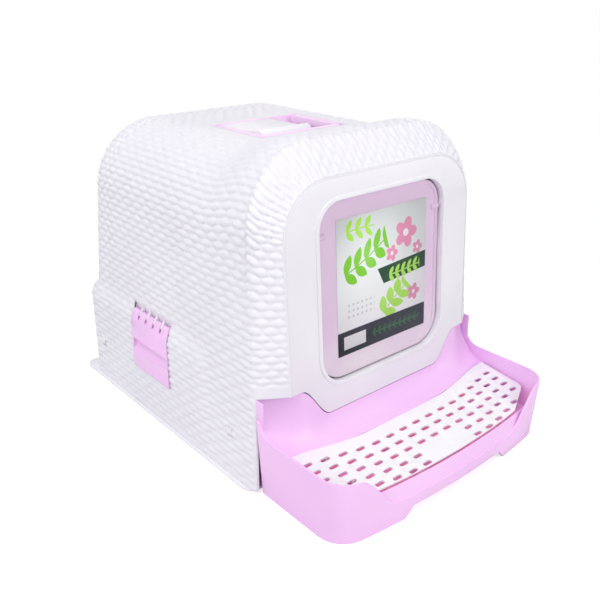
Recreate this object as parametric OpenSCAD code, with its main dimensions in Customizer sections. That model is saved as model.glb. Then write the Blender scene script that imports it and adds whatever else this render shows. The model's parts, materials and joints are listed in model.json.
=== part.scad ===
// Hooded cat litter box with a pull-out drawer, landing step, swing flap and carry handle.
// Front faces -Y, up is +Z, origin at the centre of the footprint on the floor.

/* [Foot] */
// Width over the foot flange
base_w = 394; // [384:1:404]
// Length of the foot flange, front to back
base_l = 422; // [410:1:434]
// Thickness of the floor plate and its flange
base_t = 3.6; // [3:0.1:4.5]
// How far the flange stands out past the hood's foot
flange_lip = 3.5; // [3:0.1:5]
// Corner radius of the flange
flange_r = 14; // [8:1:20]

/* [Hood] */
// Height of the flat crown behind the front arch
crown_h = 378; // [370:1:384]
// Height of the raised front arch
arch_h = 394; // [390:1:402]
// Wall thickness of the hood
hood_wall = 3; // [2.6:0.1:3.4]
// Lean of the side walls in degrees
side_draft = 3.4; // [3:0.1:3.8]
// Lean of the back wall in degrees
back_draft = 5; // [4:0.1:5.5]
// Lean of the front face in degrees
front_lean = 3.5; // [3:0.1:4]
// Radius where the side walls turn into the crown
shoulder_r = 90; // [80:1:96]
// Radius of the upright back corners and the back edge of the crown
back_r = 46; // [38:1:52]
// Height where the side bulge ends and its sloping ledge starts
ledge_low = 128; // [122:1:132]
// Height where the sloping ledge meets the upper wall
ledge_top = 155; // [150:1:160]
// Distance from the hood's front edge to the start of the side bulge
ledge_start = 84; // [76:1:92]

/* [Front face] */
// How far the door frame stands in front of the hood's front corners
porch = 24; // [20:1:28]
// Width of the smooth door frame
frame_w = 298; // [290:1:306]
// Height of the top of the door frame
frame_top = 357; // [352:1:361]
// Radius of the door frame's upper corners
frame_r = 62; // [50:1:70]
// Thickness of the front panel
panel_t = 3.4; // [3:0.1:4]
// Height of the frame's hanging lower edge above the floor, in the middle
apron_low = 81; // [78:1:84]
// Height of the frame's lower edge at both ends
apron_high = 122; // [119:1:125]
// Width of the door opening
door_w = 205; // [196:1:212]
// Height of the bottom of the door opening
door_bottom = 115; // [112:1:119]
// Height of the top of the door opening
door_top = 332; // [326:1:335]
// Depth of the wall that lines the door opening
door_depth = 14; // [12:1:16]

/* [Flap] */
// Running gap round the flap
flap_gap = 2.2; // [1.8:0.1:3]
// Thickness of the flap
flap_t = 2.4; // [2:0.1:3]
// Height of the flap's pivot line
flap_pivot = 293; // [285:1:300]
// Radius of the flap's pivot pins
flap_pin_r = 2.5; // [2:0.1:3]
// Width of the printed card on the flap
card_w = 150; // [140:1:155]
// Height of the printed card
card_h = 166; // [150:1:168]

/* [Drawer] */
// How far the landing step reaches in front of the foot flange
step_out = 152; // [146:1:158]
// Wall thickness of the drawer
drawer_wall = 3; // [2.6:0.1:3.4]
// Height of the step's rim along its sides and front corners
rim_h = 78; // [74:1:82]
// Height of the rim where it meets the hood
rim_back_h = 97; // [92:1:101]
// Height of the low part of the front rim
sill_h = 30; // [27:1:33]
// Height of the floor under the grate
catch_floor = 24; // [22:1:26]
// Height of the litter pan's rim
pan_h = 77; // [72:1:78]
// Length of the litter pan inside the hood
pan_l = 378; // [360:1:384]
// Clearance between the drawer and the pieces beside it
drawer_gap = 1.2; // [1:0.1:1.6]
// How far the drawer pulls out
drawer_travel = 330; // [250:5:340]

/* [Grate] */
// Thickness of the grate
grate_t = 2.5; // [2:0.1:3]
// Height of the grate's upper face at its back edge
grate_back_h = 59; // [57:0.5:61]
// Fall of the grate towards the front, in degrees
grate_fall = 7; // [5:0.5:8]
// Distance between slots along a row
slot_pitch = 23; // [22:0.5:25]
// Distance between rows of slots
row_pitch = 14.6; // [14:0.1:15]
// Length of one slot
slot_l = 13.4; // [10:0.2:15]
// Width of one slot
slot_w = 5.4; // [4:0.1:6]

/* [Latches] */
// Length of a side latch
latch_l = 90; // [80:1:96]
// Distance from the hood's front edge to the middle of a latch
latch_pos = 225; // [216:1:232]
// Height of the latch's lower edge
latch_low = 62; // [58:1:66]
// Thickness of a latch's plate
latch_t = 2.6; // [2.2:0.1:3]
// Radius of the latch's hinge pin
latch_pin_r = 2; // [1.8:0.1:2.2]

/* [Carry handle and filter] */
// Width of the opening in the crown
well_w = 140; // [134:1:146]
// Length of the opening in the crown, front to back
well_l = 108; // [104:1:112]
// Distance from the hood's front edge to the opening
well_pos = 132; // [128:1:136]
// Depth of the pan under the crown
well_depth = 24; // [22:1:28]
// Width of the handle's bars
bar_w = 9; // [8:0.5:10]
// Height of the handle's bars
bar_h = 8; // [7:0.5:9]
// Width of the lid over the carbon filter
lid_w = 78; // [70:1:84]

/* [Hidden] */

WHITE = [0.95, 0.95, 0.97];
PINK = [0.95, 0.72, 0.93];
CLEAR_PINK = [0.93, 0.62, 0.85, 0.5];

eps = 0.05;
seat = 0.3;                              // gap between pieces that only rest or slide on each other
pin_clear = 0.05;                        // radial running clearance of a pin in its eye
front_y = (step_out - base_l) / 2;       // the flange's front edge
back_y = front_y + base_l;
foot_half = base_w / 2 - flange_lip;
foot_z = base_t;
foot_front = front_y - 5.5;              // the hood's front corners at floor level
foot_back = back_y - flange_lip;
frame_y = foot_front - porch;            // the door frame's plane at floor level
frame_half = frame_w / 2;
foot_draft = 0.5;                        // lean of the bulge's upright face

// ---------- shared forms ----------

function lerp(a, b, t) = a + (b - a) * t;
function clamp01(t) = min(1, max(0, t));
function ease(t) = let (c = clamp01(t)) c * c * (3 - 2 * c);
function arc(cx, cy, r, a0, a1, n) =
    [for (i = [0:n]) let (a = lerp(a0, a1, i / n)) [cx + r * cos(a), cy + r * sin(a)]];

// A solid through a list of closed rings with equal numbers of points. With paired set, each end
// is closed by strips between the ring's first half and its second half run backwards.
module loft(rings, paired = false) {
    n = len(rings[0]);
    m = len(rings);
    last = (m - 1) * n;
    points = [for (ring = rings) for (p = ring) p];
    sides = [for (i = [0:m - 2]) for (j = [0:n - 1]) let (k = (j + 1) % n)
        each [[i * n + j, (i + 1) * n + j, (i + 1) * n + k], [i * n + j, (i + 1) * n + k, i * n + k]]];
    caps = paired ? concat(strip_cap(0, n, false), strip_cap(last, n, true))
        : [[for (j = [0:n - 1]) j], [for (j = [n - 1:-1:0]) last + j]];
    polyhedron(points, concat(sides, caps));
}
// Faces that close a ring of n points starting at index e, in strips from one half to the other.
function strip_cap(e, n, turned) = [for (j = [0:n / 2 - 2])
    let (a = e + j, b = a + 1, d = e + n - 1 - j, c = d - 1)
    each (turned ? [[a, d, c], [a, c, b]] : [[a, b, c], [a, c, d]])];

// A rectangle with rounded corners, from x0,y0 to x1,y1; radii of the lower and the upper corners.
module rounded(x0, y0, x1, y1, r_low, r_up, n = 8) {
    polygon(concat(
        arc(x1 - r_low, y0 + r_low, r_low, -90, 0, n),
        arc(x1 - r_up, y1 - r_up, r_up, 0, 90, n),
        arc(x0 + r_up, y1 - r_up, r_up, 90, 180, n),
        arc(x0 + r_low, y0 + r_low, r_low, 180, 270, n)));
}

// Half width of the hood's outside at height z, before the bulge is added.
function wall_half(z) = foot_half - z * tan(side_draft);
// How far the bulge stands out from a wall that leans by draft, at height z.
function bulge(z, draft) = let (out = tan(draft) - tan(foot_draft))
    z >= ledge_top ? 0 :
    z >= ledge_low ? ledge_low * out * ease((ledge_top - z) / (ledge_top - ledge_low)) :
    z * out;
// Places along Y of the front corners, the door frame and the back wall at height z.
function corner_y(z) = foot_front + z * tan(front_lean);
function frame_plane_y(z) = frame_y + z * tan(front_lean);
function wall_back_y(z) = foot_back - z * tan(back_draft) + bulge(z, back_draft);

// Puts a flat drawing on the leaning front face: x across, y up the face, extrusion towards the front.
module on_front(depth) {
    translate([0, frame_y, 0]) rotate([90 - front_lean, 0, 0]) translate([0, 0, -depth]) children();
}
// Distance up the leaning face to height z.
function up_face(z) = z / cos(front_lean);

// The children and their mirror image on the other side.
module both_sides() { children(); mirror([1, 0, 0]) children(); }

// ---------- hood ----------

side_steps = [foot_z, 40, 84, ledge_low, lerp(ledge_low, ledge_top, 0.5), ledge_top, 220];

// One arch-shaped section, from the left foot over the crown to the right foot, as [x, z].
// inset shrinks it, top is its height, r its shoulder radius, swell is 0 to 1 of the bulge.
function arch_side(inset, top, r, swell) = concat(
    [for (z = side_steps) [wall_half(z) + swell * bulge(z, side_draft) - inset, z]],
    let (zs = top - r, xs = wall_half(zs) - inset) arc(xs - r, zs, r, 0, 90, 9));
// A right-hand half outline, doubled into one that runs from the left foot over the top to the right foot.
function doubled(half) = concat([for (p = half) [-p[0], p[1]]], [for (i = [len(half) - 1:-1:0]) half[i]]);
function arch(inset, top, r, swell) = doubled(arch_side(inset, top, r, swell));

// The door frame's outline with the same number of points as arch().
function frame_arch(grow) = let (h = frame_half + grow, r = frame_r + grow, zs = frame_top + grow - r)
    doubled(concat([for (z = side_steps) [h, min(z, zs - 1)]], arc(h - r, zs, r, 0, 90, 9)));

// Height of the crown at a distance d behind the front corners.
function crown_at(d) = crown_h + (arch_h - crown_h) * (1 - ease((d - 26) / 74));

// Sections of the hood from front to back; t is 0 for the outside and the wall for the inside.
hood_depths = [8, 22, 45, 70, 100, 130];
ledge_run = 22;                          // length over which the side bulge grows
rim_w = 2.2;                             // width of the band's edge round the door frame
brow_drop = 9;                           // how far the crown falls at its very front edge
function section3(pts, f) = [for (p = pts) [p[0], f(p[1]), p[1]]];
function hood_sections(t) = concat(
    [section3(frame_arch(t > 0 ? 0 : rim_w), function (z) frame_plane_y(z)),
     section3(arch(1 + t, arch_h - brow_drop - t, shoulder_r - t, 0), function (z) corner_y(z) - 2 + t)],
    [for (d = hood_depths)
        section3(arch(t, crown_at(d) - t, shoulder_r - t, ease((d - ledge_start) / ledge_run)),
            function (z) corner_y(z) + d)],
    [for (a = [0:22.5:90])
        let (in = back_r * (1 - cos(a)), fwd = back_r * (1 - sin(a)))
        section3(arch(t + in, crown_h - t - in, shoulder_r - t - in * 0.8, 1),
            function (z) wall_back_y(z) - t - fwd)]);

// The hood's wall between two skins of equal sections, open at the front and at the foot.
module shell_between(outer, inner) {
    n = len(outer[0]);
    m = len(outer);
    total = n * m;
    e = (m - 1) * n;
    grid = function (o, turned) [for (i = [0:m - 2]) for (j = [0:n - 2])
        let (a = o + i * n + j, b = a + 1, c = a + n, d = c + 1)
        each turned ? [[a, d, c], [a, b, d]] : [[a, c, d], [a, d, b]]];
    // the rim joins the two skins along both feet and round the front
    left = [for (i = [0:m - 2]) let (a = i * n, c = a + n)
        each [[a, total + c, c], [a, total + a, total + c]]];
    right = [for (i = [0:m - 2]) let (a = i * n + n - 1, c = a + n)
        each [[a, c, total + c], [a, total + c, total + a]]];
    lip = [for (j = [0:n - 2]) each [[j, total + j + 1, total + j], [j, j + 1, total + j + 1]]];
    foot = [[e, total + e + n - 1, e + n - 1], [e, total + e, total + e + n - 1]];
    points = [for (s = outer) each s, for (s = inner) each s];
    polyhedron(points, concat(grid(0, false), grid(total, true), left, right, lip,
        strip_cap(e, n, true), strip_cap(total + e, n, false), foot));
}

latch_y = foot_front + latch_pos;
latch_gap = 1.2;                         // room round a latch in its window
latch_pivot_x = foot_half - 9.4;
latch_pivot_z = ledge_low + 13;
knuckle_r = 4.2;
knuckle_l = latch_l / 5;                 // spacing of the latch's five knuckles
ear_t = 3;                               // thickness of the hood's four hinge ears between them
slit_w = ear_t + 1.2;
slit_low = latch_pivot_z - 6.5;          // lower end of the slits between the knuckles
window_top = ledge_top + 1.6;            // upper edge of the latch's window
snap_y = [foot_front + 50, foot_back - 62];
snap_z = 56;
well_y = foot_front + well_pos;          // front edge of the crown's opening

// A drawing of x and z, extruded along Y from y0 to y1.
module across(y0, y1) { translate([0, y1, 0]) rotate([90, 0, 0]) linear_extrude(y1 - y0) children(); }
// The same for the places between the latch's knuckles, w wide.
module at_slits(w) {
    for (i = [-1.5:1:1.5]) let (y = latch_y + i * knuckle_l) across(y - w / 2, y + w / 2) children();
}

// X of the bulged side's outside behind its start, at height z.
function side_x(z) = wall_half(z) + bulge(z, side_draft);
// The same at a snap slot, which may lie in front of the bulge.
function snap_x(y, z) = y < foot_front + ledge_start ? wall_half(z) : side_x(z);

// A box across the right-hand side wall, from y0 to y1 and z0 to z1.
module side_box(y0, y1, z0, z1) {
    translate([foot_half - 45, y0, z0]) cube([60, y1 - y0, z1 - z0]);
}
// The hinge ears that hang behind the wall above the latch and hold its pin, and the sloping
// wall that joins them and closes the recess over the knuckles.
module latch_ears() {
    top = ledge_top + 9;
    at_slits(ear_t) union() {
        translate([latch_pivot_x, latch_pivot_z]) circle(r = knuckle_r, $fn = 36);
        polygon([[latch_pivot_x - 3.5, latch_pivot_z], [latch_pivot_x + 3.6, latch_pivot_z + 1.4],
            [side_x(window_top - 7) - 3, window_top - 7], [side_x(window_top) - 1, window_top],
            [wall_half(top) - 1, top], [wall_half(top) - 4, top], [latch_pivot_x - 6, ledge_top - 2]]);
    }
    across(latch_y - latch_l / 2 - latch_gap - 1, latch_y + latch_l / 2 + latch_gap + 1)
        polygon([[wall_half(window_top) - 0.8, window_top + 1], [latch_pivot_x - 4.5, latch_pivot_z + 5.6],
            [latch_pivot_x - 6.9, latch_pivot_z + 5.6], [wall_half(window_top) - 3.2, window_top + 1]]);
}

module hood_shell() {
    room_top = apron_high;
    color(WHITE) difference() {
        union() {
            difference() {
                shell_between(hood_sections(0), hood_sections(hood_wall));
                // room under the front band for the drawer's front
                across(frame_y - 10, frame_y + 50)
                    polygon([for (p = [[-1, -5], [1, -5], [1, room_top], [-1, room_top]])
                        [p[0] * (wall_half(p[1]) - hood_wall + seat), p[1]]]);
                // latch windows and snap slots
                both_sides() {
                    side_box(latch_y - latch_l / 2 - latch_gap, latch_y + latch_l / 2 + latch_gap,
                        latch_low - latch_gap, window_top);
                    for (y = snap_y) side_box(y - 5, y + 5, snap_z - 2, snap_z + 2);
                }
                translate([-well_w / 2, well_y, crown_h - 40]) cube([well_w, well_l, 60]);
            }
            both_sides() {
                latch_ears();
                // thumb marks above the snap slots
                for (y = snap_y)
                    translate([snap_x(y, snap_z + 7) - 1, y - 4, snap_z + 4]) cube([1.8, 8, 6]);
            }
        }
        // bores for the hinge pins
        both_sides() across(latch_y - pin_half - 1, latch_y + pin_half + 1)
            translate([latch_pivot_x, latch_pivot_z]) circle(r = latch_pin_r, $fn = 36);
    }
}

// ---------- front panel ----------

// Height of the frame's lower edge at a place x: low in the middle, up in an S at both ends.
function apron_z(x) = lerp(apron_low, apron_high, ease((abs(x) - 92) / 42));

// Places along X where the S of the lower edge is drawn, the same on the panel and on the drawer.
apron_stops = [46, for (i = [0:10]) 92 + i * 4.2];
function both_ways(list) = concat([for (i = [len(list) - 1:-1:0]) -list[i]], [0], list);

// The door frame's plate: the arch above, the S-shaped lower edge below.
module frame_outline(grow) {
    h = frame_half + grow;
    over = [for (p = frame_arch(grow)) if (p[1] > apron_high - grow + 2) [p[0], up_face(p[1])]];
    under = [for (x = both_ways(concat(apron_stops, [frame_half])))
        [-x * h / frame_half, up_face(apron_z(x)) - grow]];
    polygon(concat(over, under));
}
door_r_low = 38;                         // radii of the door opening's corners
door_r_up = 32;
module door_outline(grow) {
    half = door_w / 2 + grow;
    rounded(-half, up_face(door_bottom) - grow, half, up_face(door_top) + grow,
        door_r_low + grow, door_r_up + grow);
}

socket_r = 6.5;
socket_l = 9;
flap_depth = 8;                          // middle of the flap behind the frame's face
flap_half = door_w / 2 - flap_gap;
lining_t = 2.2;
lip_w = 4.5;                             // raised lip round the opening
lip_h = 2;
rib_in = 6;                              // the stiffening rib's distance from the plate's edge
rib_w = 2.4;

// A ring of the front panel between two outlines of the door, from depth z0 behind the face, h thick.
module door_ring(outer, z0, h) {
    translate([0, 0, -z0]) linear_extrude(h) difference() {
        door_outline(outer);
        door_outline(0);
    }
}
// The children at both pivots of the flap, pointing outwards from a distance x from the middle.
module at_pivots(x, depth = 0) {
    for (side = [-1, 1])
        translate([side * x, up_face(flap_pivot), -depth]) rotate([0, side * 90, 0]) children();
}

module front_panel() {
    color(WHITE) on_front(0) difference() {
        union() {
            // plate
            translate([0, 0, -panel_t]) linear_extrude(panel_t) difference() {
                frame_outline(-seat);
                door_outline(0);
            }
            // raised lip round the opening
            door_ring(lip_w, 0, lip_h);
            // lining wall behind the opening
            door_ring(lining_t, door_depth, door_depth);
            // stiffening rib round the back of the plate
            translate([0, 0, -panel_t - 4]) linear_extrude(4.5) difference() {
                frame_outline(-rib_in);
                frame_outline(-rib_in - rib_w);
            }
            at_pivots(door_w / 2 + 0.4, flap_depth) cylinder(h = socket_l, r = socket_r, $fn = 40);
        }
        at_pivots(door_w / 2 - 5, flap_depth)
            cylinder(h = socket_l + 4, r = flap_pin_r + pin_clear, $fn = 40);
    }
}

// ---------- flap ----------

border_w = 5;                            // the flap's thicker border
border_h = 1;                            // how far the border stands out on both faces
module flap() {
    color(CLEAR_PINK) on_front(flap_depth) union() {
        translate([0, 0, -flap_t / 2]) linear_extrude(flap_t) door_outline(-flap_gap);
        translate([0, 0, -flap_t / 2 - border_h]) linear_extrude(flap_t + 2 * border_h) difference() {
            door_outline(-flap_gap);
            door_outline(-flap_gap - border_w);
        }
        // pivot pins and the bosses they grow from
        at_pivots(flap_half - 8) cylinder(h = 8 + flap_gap + socket_l - 1.5, r = flap_pin_r, $fn = 40);
        at_pivots(flap_half - 12) cylinder(h = 12, r = flap_pin_r + 1.2, $fn = 40);
    }
}

card_t = 0.6;
card_shift = 3.8;                        // the card sits a little to the right of the middle
card_bottom = 142;
module flap_card() {
    color("white") on_front(flap_depth - flap_t / 2 - card_t) translate([0, 0, -card_t])
        linear_extrude(card_t)
            translate([card_shift - card_w / 2, up_face(card_bottom)]) square([card_w, card_h]);
}

// ---------- drawer ----------

step_half_top = foot_half - 8;
step_half_foot = foot_half - 10.5;
function step_half(z) = lerp(step_half_foot, step_half_top, z / rim_back_h);
function step_back_y(z) = corner_y(z) - 3.6;
step_nose_y = front_y - step_out;        // the furthest point of the bowed front
bow_depth = 13;                          // how much the step's front bows out
step_corner_r = 36;
// Distance the front wall falls back at a place x, because of its bow.
function bow(x) = bow_depth * pow(x / (step_half_foot - 12), 2);
step_flare = 4;                          // how far the front leans out over the rim's height
function step_front_y(x, z) = step_nose_y + step_flare * (sill_h - z) / rim_h + bow(x);

// The step's plan outline at height z, inset by t, with its ends at the line y = back.
function step_ring(z, t, back) = let (
    h = step_half(z) - t, r = step_corner_r - t, cx = h - r,
    slope = atan(2 * bow_depth * cx / pow(step_half_foot - 12, 2)),
    xe = cx + r * sin(slope), cy = step_front_y(xe, z) + t + r * cos(slope))
    concat([[-h, back, z]],
        [for (p = arc(-cx, cy, r, 180, 270 - slope, 6)) [p[0], p[1], z]],
        [for (i = [1:15]) let (x = lerp(-xe, xe, i / 16)) [x, step_front_y(x, z) + t, z]],
        [for (p = arc(cx, cy, r, 270 + slope, 360, 6)) [p[0], p[1], z]],
        [[h, back, z]]);

// The rim's height along the sides: up to the hood in a hollow curve.
rim_side = let (y = step_back_y(rim_back_h), fall = rim_back_h - rim_h - 2)
    concat([[y + 30, rim_back_h], [y - 1, rim_back_h]],
        [for (a = [0:15:90]) [step_back_y(rim_h) - 24 + 20 * cos(a), rim_back_h - 2 - fall * sin(a)]]);
// The rim's height across the front: low sill between two tall corners.
sill_half = 102;                         // half width of the level part of the sill
sill_run = 55;                           // length over which it climbs to the corners
function sill_z(x) = lerp(sill_h, rim_h, ease((abs(x) - sill_half) / sill_run));

// The drawer's front wall: an upright top under the hood's apron, then a hollow slope down to the
// grate. Its ends lie inside the hood above the rim, and in the step's sides below it.
wall_end = wall_half(100) - hood_wall - drawer_gap;
function wall_x(x, z) = let (end = z > 85 ? wall_half(z) - hood_wall - drawer_gap : step_half(z) - 1)
    x + sign(x) * max(0, abs(x) - 140) / (wall_end - 140) * (end - wall_end);
function porch_y(x, z) =
    lerp(frame_plane_y(z) + 0.5, corner_y(z) + 3.5, ease((abs(x) - 128) / 56));
function slope_foot_y(x) = front_y - lerp(58, 40, ease((abs(x) - 60) / 120));
function front_wall_ring(x) = let (
    zt = apron_z(x) - drawer_gap, zg = grate_back_h - 1,
    yt = porch_y(x, zt), yg = slope_foot_y(x), t = drawer_wall,
    ys = function (a) lerp(yg, yt, pow(cos(a), 1.15)), zs = function (a) lerp(zt, zg, sin(a)),
    pt = function (y, z, like) [wall_x(x, like), y, z])
    concat([pt(yt, zt, zt)], [for (a = [10:16:90]) pt(ys(a), zs(a), zs(a))],
        [pt(yg, catch_floor - 2, catch_floor), pt(yg + t, catch_floor - 2, catch_floor)],
        [for (a = [90:-16:10]) pt(ys(a) + t * cos(a) + (a > 80 ? t : 0.4), zs(a) - t * sin(a), zs(a))],
        [pt(yt + t + 0.5, zt, zt)]);

pan_floor = base_t + 1.6;
pan_half_top = foot_half - 17.5;
pan_half_foot = foot_half - 25.5;
pan_back = foot_front + pan_l;
function pan_ring(z, t, floor_z) = let (
    k = z / pan_h, h = lerp(pan_half_foot, pan_half_top, k) - t, r = 40 - t,
    yb = pan_back - lerp(8, 0, k) - t,
    fy = function (x) porch_y(x * foot_half / pan_half_top, pan_h) + 1.2 + t + lerp(6, 0, k))
    concat([for (i = [0:16]) let (x = lerp(-h, h, i / 16)) [x, fy(x), max(z, floor_z)]],
        [for (a = [0:15:90]) [h - r + r * cos(a), yb - r + r * sin(a), max(z, floor_z)]],
        [for (a = [90:15:180]) [-h + r + r * cos(a), yb - r + r * sin(a), max(z, floor_z)]]);

pull_half = 92;                          // the finger arch under the step's front
pull_h = 14;
pull_slant = 14;

// A solid of the step's plan outline, inset by t, through the heights zs, past the back by more.
module step_block(zs, t, more) { loft([for (z = zs) step_ring(z, t, step_back_y(z) + more)]); }
// A drawing of x and z cut through the step's front.
module through_front() {
    translate([0, step_nose_y + 34, 0]) rotate([90, 0, 0]) linear_extrude(60) children();
}

module step_shell() {
    difference() {
        step_block([0, catch_floor, grate_back_h, rim_back_h], 0, 0);
        // inside above the catch floor
        step_block([catch_floor, grate_back_h, rim_back_h + 6], drawer_wall, drawer_wall);
        // hollow underside, open behind the foot of the slope
        step_block([-1, catch_floor - drawer_wall], drawer_wall, drawer_wall);
        loft([for (i = [-8:8]) let (x = i / 8 * (step_half_foot - drawer_wall - 0.5),
                y0 = slope_foot_y(x) + 1, y1 = front_y + 20, z1 = rim_back_h + 20)
            [[x, y0, -2], [x, y1, -2], [x, y1, z1], [x, y0, z1]]]);
        // side rims
        rotate([90, 0, 90]) translate([0, 0, -foot_half - 10]) linear_extrude(2 * foot_half + 20)
            polygon(concat(rim_side, [[step_nose_y - 20, rim_h], [step_nose_y - 20, rim_back_h + 20],
                [step_back_y(0) + 40, rim_back_h + 20]]));
        // low sill between the tall front corners
        through_front() polygon(concat(
            [for (i = [-10:10]) if (i != 0)
                let (x = sign(i) * (sill_half + sill_run * (abs(i) - 1) / 9)) [x, sill_z(x)]],
            [[sill_half + sill_run, rim_h + 30], [-sill_half - sill_run, rim_h + 30]]));
        // finger arch
        through_front() polygon([[-pull_half, -1], [-pull_half + pull_slant, pull_h],
            [pull_half - pull_slant, pull_h], [pull_half, -1]]);
    }
}

// The steep ridge behind the sill, which stops the grate.
ridge_half = 150;
ridge_back = 8.2;                        // the ridge's depth behind the step's front
grate_hinge_y = front_y - 58;            // the line where the grate's fall starts
ridge_top = grate_back_h - (grate_hinge_y - step_nose_y - ridge_back) * tan(grate_fall) - 1;
module sill_ridge() {
    loft([for (i = [0:12]) let (x = lerp(-ridge_half, ridge_half, i / 12),
            y0 = step_nose_y + bow(x) * 1.02 + 0.8, y1 = y0 + ridge_back - 0.8)
        [[x, y1, catch_floor - 2], [x, y1, ridge_top - 1.4], [x, y1 - 1.2, ridge_top],
         [x, y1 - 2.6, ridge_top - 0.8], [x, y0 + 1.4, sill_h + 1], [x, y0, sill_h - 1],
         [x, y0, catch_floor - 2]]]);
}

wall_stops = both_ways(concat(apron_stops, [146, 158, 171, wall_end]));
roll_w = 2.4;                            // width and height of the pan's rolled rim
module drawer() {
    color(PINK) union() {
        step_shell();
        sill_ridge();
        loft([for (x = wall_stops) front_wall_ring(x)], true);
        // litter pan
        difference() {
            loft([for (z = [pan_floor, pan_floor + 6, pan_h]) pan_ring(z, z < pan_floor + 1 ? 3 : 0, 0)]);
            loft([for (z = [pan_floor + drawer_wall, pan_floor + drawer_wall + 5, pan_h + 2])
                pan_ring(z, z < pan_floor + drawer_wall + 1 ? drawer_wall + 3 : drawer_wall, 0)]);
        }
        // rolled rim of the pan
        difference() {
            loft([for (z = [pan_h - roll_w, pan_h]) pan_ring(z, -roll_w, 0)]);
            loft([for (z = [pan_h - 4, pan_h + 2]) pan_ring(z, drawer_wall * 0.6, 0)]);
            translate([-foot_half, step_nose_y, pan_h - 10])
                cube([2 * foot_half, front_y - step_nose_y + 24, 20]);
        }
    }
}

// ---------- grate ----------

grate_half = step_half(grate_back_h - 6) - drawer_wall - 3.5;
grate_gap = 1.2;                         // play between the grate and the ridge in front of it
function grate_back_y(x) = slope_foot_y(x) - 1;
function grate_front_edge(x) = step_nose_y + bow(x) * 1.02 + ridge_back + grate_gap;
grate_cut = 54;                          // how far the front corners are cut back, along X
corner_in = 40;                          // where the cut starts, behind the step's front
corner_r = 10;
module grate_outline(t) {
    h = grate_half - t;
    polygon(concat(
        [for (i = [0:20]) let (x = lerp(-h, h, i / 20)) [x, grate_back_y(x) - t]],
        arc(h - corner_r, step_nose_y + corner_in + corner_r + t, corner_r, 0, -60, 4),
        [for (i = [0:14]) let (x = lerp(h - grate_cut, -h + grate_cut, i / 14)) [x, grate_front_edge(x) + t]],
        arc(-h + corner_r, step_nose_y + corner_in + corner_r + t, corner_r, 240, 180, 4)));
}
module slot() {
    square([slot_l - slot_w, slot_w], center = true);
    for (s = [-1, 1]) translate([s * (slot_l - slot_w) / 2, 0]) circle(d = slot_w, $fn = 16);
}
slot_rows = 5;
side_slots = 7;                          // slots on each side of the middle one, in a full row
first_row = 20;                          // from the grate's back edge to the first row
pad_rows = 2;                            // rows at the front that leave out the middle slots
pad_slots = 1;
module on_grate() {
    translate([0, grate_hinge_y, grate_back_h]) rotate([grate_fall, 0, 0]) children();
}
function row_y(r, x) = grate_back_y(x) - grate_hinge_y - first_row - r * row_pitch;
function has_slot(r, i) = abs(i) <= side_slots - (r == slot_rows - 1 ? 1 : 0)
    && !(r >= slot_rows - pad_rows && abs(i) <= pad_slots);
// A leg of the grate stands half a row behind row r, at x.
module grate_leg(x, r) {
    y = grate_hinge_y + row_y(r, x) + row_pitch / 2;
    translate([x, y, catch_floor]) cylinder(r = 3.5, $fn = 24,
        h = grate_back_h - catch_floor - grate_t + (y - grate_hinge_y) * tan(grate_fall) + 0.6);
}
module step_grate() {
    color(WHITE) union() {
        on_grate() translate([0, 0, -grate_t]) linear_extrude(grate_t) difference() {
            translate([0, -grate_hinge_y]) grate_outline(0);
            for (r = [0:slot_rows - 1], i = [-side_slots:side_slots]) if (has_slot(r, i))
                translate([i * slot_pitch, row_y(r, i * slot_pitch)]) slot();
        }
        for (x = [-132, -44, 44, 132], r = [0, 3]) grate_leg(x, r);
    }
}

// ---------- latches ----------

pin_half = latch_l / 2 - 3;
finger_z0 = 88;                          // heights of the finger slot's lower and upper edge
finger_z1 = 104;
finger_end = 3;                          // wall left at both ends of the finger slot
ramp_in = 9.5;                           // depth of the ramp behind the finger slot

// The latch's section: a plate that follows the hood's face and ledge up to height top.
function latch_plate(top) =
    let (zs = [latch_low, ledge_low - 22, for (i = [0:8]) lerp(ledge_low - 4, top, i / 8)], n = len(zs) - 1)
    concat([for (z = zs) [side_x(z), z]], [for (i = [n:-1:0]) [side_x(zs[i]) - latch_t, zs[i]]]);
module latch_right_shape() {
    y0 = latch_y - latch_l / 2;
    y1 = latch_y + latch_l / 2;
    xf = side_x(finger_z0);
    back = xf - ramp_in;
    difference() {
        union() {
            difference() {
                across(y0, y1) union() {
                    polygon(latch_plate(latch_pivot_z + 2.4));
                    // barrel round the pin
                    translate([latch_pivot_x, latch_pivot_z]) circle(r = knuckle_r, $fn = 36);
                }
                // four slits that part it into five knuckles
                at_slits(slit_w) translate([latch_pivot_x - 10, slit_low]) square([30, 40]);
            }
            // inward lip at the lower edge
            across(y0 + 4, y1 - 4)
                translate([side_x(latch_low) - latch_t - 1.4, latch_low]) square([2.4, 5]);
            // box behind the finger slot
            across(y0, y1) polygon([[xf - 1, finger_z0 - 4], [xf - 3.6, finger_z0 - 4],
                [back, finger_z1 - 4], [back, finger_z1 + 7], [xf - 3, finger_z1 + 9]]);
        }
        across(y0 - 1, y1 + 1)
            translate([latch_pivot_x, latch_pivot_z]) circle(r = latch_pin_r + pin_clear, $fn = 36);
        // finger slot with its ramp
        across(y0 + finger_end, y1 - finger_end) polygon([[xf + 2, finger_z0], [xf - 1, finger_z0],
            [back + 2.4, finger_z1], [back + 2.4, finger_z1 + 5], [xf - latch_t, finger_z1 + 5],
            [xf - latch_t, finger_z1], [xf + 2, finger_z1]]);
    }
}
module latch_left() { color(PINK) mirror([1, 0, 0]) latch_right_shape(); }
module latch_right() { color(PINK) latch_right_shape(); }
module latch_pin(side) {
    color(PINK) translate([side * latch_pivot_x, latch_y + pin_half, latch_pivot_z]) rotate([90, 0, 0])
        cylinder(h = 2 * pin_half, r = latch_pin_r, $fn = 36);
}

// ---------- base ----------

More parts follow.
